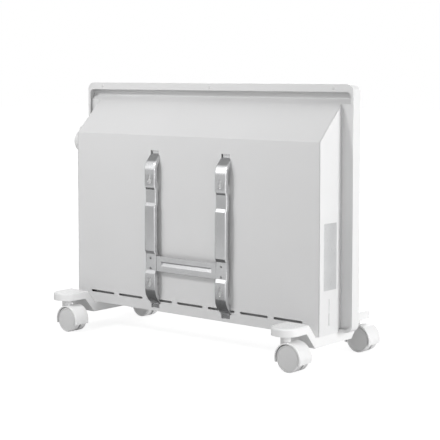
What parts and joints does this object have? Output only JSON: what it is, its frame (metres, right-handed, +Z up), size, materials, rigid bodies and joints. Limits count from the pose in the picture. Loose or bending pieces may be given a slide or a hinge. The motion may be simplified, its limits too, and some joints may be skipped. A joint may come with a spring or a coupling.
{
  "type": "electric convector heater",
  "caption": "Slim white convector heater seen from behind: tray-shaped front panel, sloped sheet-metal case, keyhole wall bracket, and moulded feet on hooded twin-wheel castors.",
  "frame": {"origin": "on the floor under the middle of the heater's bounding box", "axes": "+X to the heater's right seen from the front, -Y out of the front panel, +Y out of the back plate, +Z up"},
  "size_m": [0.596, 0.239, 0.4448],
  "materials": {
    "panel_paint": "satin white powder coat",
    "case_paint": "satin white powder coat",
    "screw_paint": "white painted screw heads",
    "grille_plastic": "matt dark grey plastic",
    "bracket_zinc": "bright zinc plated sheet steel",
    "rivet_steel": "zinc plated",
    "foot_plastic": "white moulded plastic, fine texture",
    "white_plastic": "white moulded plastic",
    "castor_plastic": "white moulded plastic, semi gloss",
    "wheel_plastic": "light grey plastic",
    "inner_steel": "zinc plated",
    "shield_alloy": "bright rolled sheet",
    "element_alloy": "extruded, matt",
    "ceramic": "cream glazed ceramic",
    "black_plastic": "black moulded plastic"
  },
  "bodies": {
    "case": {"front_panel": "panel_paint", "outlet_grille": "grille_plastic", "back_cover": "case_paint", "side_panel_left": "case_paint", "side_panel_right": "case_paint", "bottom_plate": "case_paint", "panel_clips": "inner_steel", "lip_screws": "screw_paint", "heat_shield": "shield_alloy", "heating_element": "element_alloy", "element_insulators": "ceramic", "element_brackets": "inner_steel", "thermal_cutout": "black_plastic", "terminal_block": "ceramic", "tilt_switch": "black_plastic", "thermostat_body": "inner_steel", "switch_housing": "black_plastic", "rocker_pin": "inner_steel", "control_bezel": "white_plastic", "cord_gland": "black_plastic", "bracket_strip_left": "bracket_zinc", "bracket_strip_right": "bracket_zinc", "bracket_crossbar": "bracket_zinc", "bracket_rivets": "rivet_steel", "foot_left": "foot_plastic", "foot_right": "foot_plastic", "foot_screws": "inner_steel", "castor_rl_stem": "inner_steel", "castor_rr_stem": "inner_steel", "castor_fl_stem": "inner_steel", "castor_fr_stem": "inner_steel"},
    "knob": {"thermostat_spindle": "inner_steel", "thermostat_knob": "white_plastic"},
    "rocker": {"power_rocker": "black_plastic"},
    "castor_rl": {"castor_rl_body": "castor_plastic", "castor_rl_axle": "inner_steel"},
    "wheel_rl_a": {"castor_rl_wheel_a": "wheel_plastic"},
    "wheel_rl_b": {"castor_rl_wheel_b": "wheel_plastic"},
    "castor_rr": {"castor_rr_body": "castor_plastic", "castor_rr_axle": "inner_steel"},
    "wheel_rr_a": {"castor_rr_wheel_a": "wheel_plastic"},
    "wheel_rr_b": {"castor_rr_wheel_b": "wheel_plastic"},
    "castor_fl": {"castor_fl_body": "castor_plastic", "castor_fl_axle": "inner_steel"},
    "wheel_fl_a": {"castor_fl_wheel_a": "wheel_plastic"},
    "wheel_fl_b": {"castor_fl_wheel_b": "wheel_plastic"},
    "castor_fr": {"castor_fr_body": "castor_plastic", "castor_fr_axle": "inner_steel"},
    "wheel_fr_a": {"castor_fr_wheel_a": "wheel_plastic"},
    "wheel_fr_b": {"castor_fr_wheel_b": "wheel_plastic"}
  },
  "joints": [
    {"name": "knob_turn", "type": "hinge", "parent": "case", "child": "knob", "pos_m": [0.281, 0.0125, 0.337], "axis": [1, 0, 0], "range_deg": [-20, 250]},
    {"name": "rocker_tilt", "type": "hinge", "parent": "case", "child": "rocker", "pos_m": [0.2705, 0.0125, 0.285], "axis": [0, 1, 0], "range_deg": [-8, 8]},
    {"name": "swivel_rl", "type": "hinge", "parent": "case", "child": "castor_rl", "pos_m": [-0.247, 0.09599, 0.051], "axis": [0, 0, 1], "continuous": true},
    {"name": "spin_rl_a", "type": "hinge", "parent": "castor_rl", "child": "wheel_rl_a", "pos_m": [-0.261, 0.10499, 0.02175], "axis": [0, 1, 0], "continuous": true},
    {"name": "spin_rl_b", "type": "hinge", "parent": "castor_rl", "child": "wheel_rl_b", "pos_m": [-0.261, 0.08699, 0.02175], "axis": [0, 1, 0], "continuous": true},
    {"name": "swivel_rr", "type": "hinge", "parent": "case", "child": "castor_rr", "pos_m": [0.247, 0.09599, 0.051], "axis": [0, 0, 1], "continuous": true},
    {"name": "spin_rr_a", "type": "hinge", "parent": "castor_rr", "child": "wheel_rr_a", "pos_m": [0.233, 0.10499, 0.02175], "axis": [0, 1, 0], "continuous": true},
    {"name": "spin_rr_b", "type": "hinge", "parent": "castor_rr", "child": "wheel_rr_b", "pos_m": [0.233, 0.08699, 0.02175], "axis": [0, 1, 0], "continuous": true},
    {"name": "swivel_fl", "type": "hinge", "parent": "case", "child": "castor_fl", "pos_m": [-0.247, -0.09599, 0.051], "axis": [0, 0, 1], "continuous": true},
    {"name": "spin_fl_a", "type": "hinge", "parent": "castor_fl", "child": "wheel_fl_a", "pos_m": [-0.261, -0.08699, 0.02175], "axis": [0, 1, 0], "continuous": true},
    {"name": "spin_fl_b", "type": "hinge", "parent": "castor_fl", "child": "wheel_fl_b", "pos_m": [-0.261, -0.10499, 0.02175], "axis": [0, 1, 0], "continuous": true},
    {"name": "swivel_fr", "type": "hinge", "parent": "case", "child": "castor_fr", "pos_m": [0.247, -0.09599, 0.051], "axis": [0, 0, 1], "continuous": true},
    {"name": "spin_fr_a", "type": "hinge", "parent": "castor_fr", "child": "wheel_fr_a", "pos_m": [0.233, -0.08699, 0.02175], "axis": [0, 1, 0], "continuous": true},
    {"name": "spin_fr_b", "type": "hinge", "parent": "castor_fr", "child": "wheel_fr_b", "pos_m": [0.233, -0.10499, 0.02175], "axis": [0, 1, 0], "continuous": true}
  ]
}
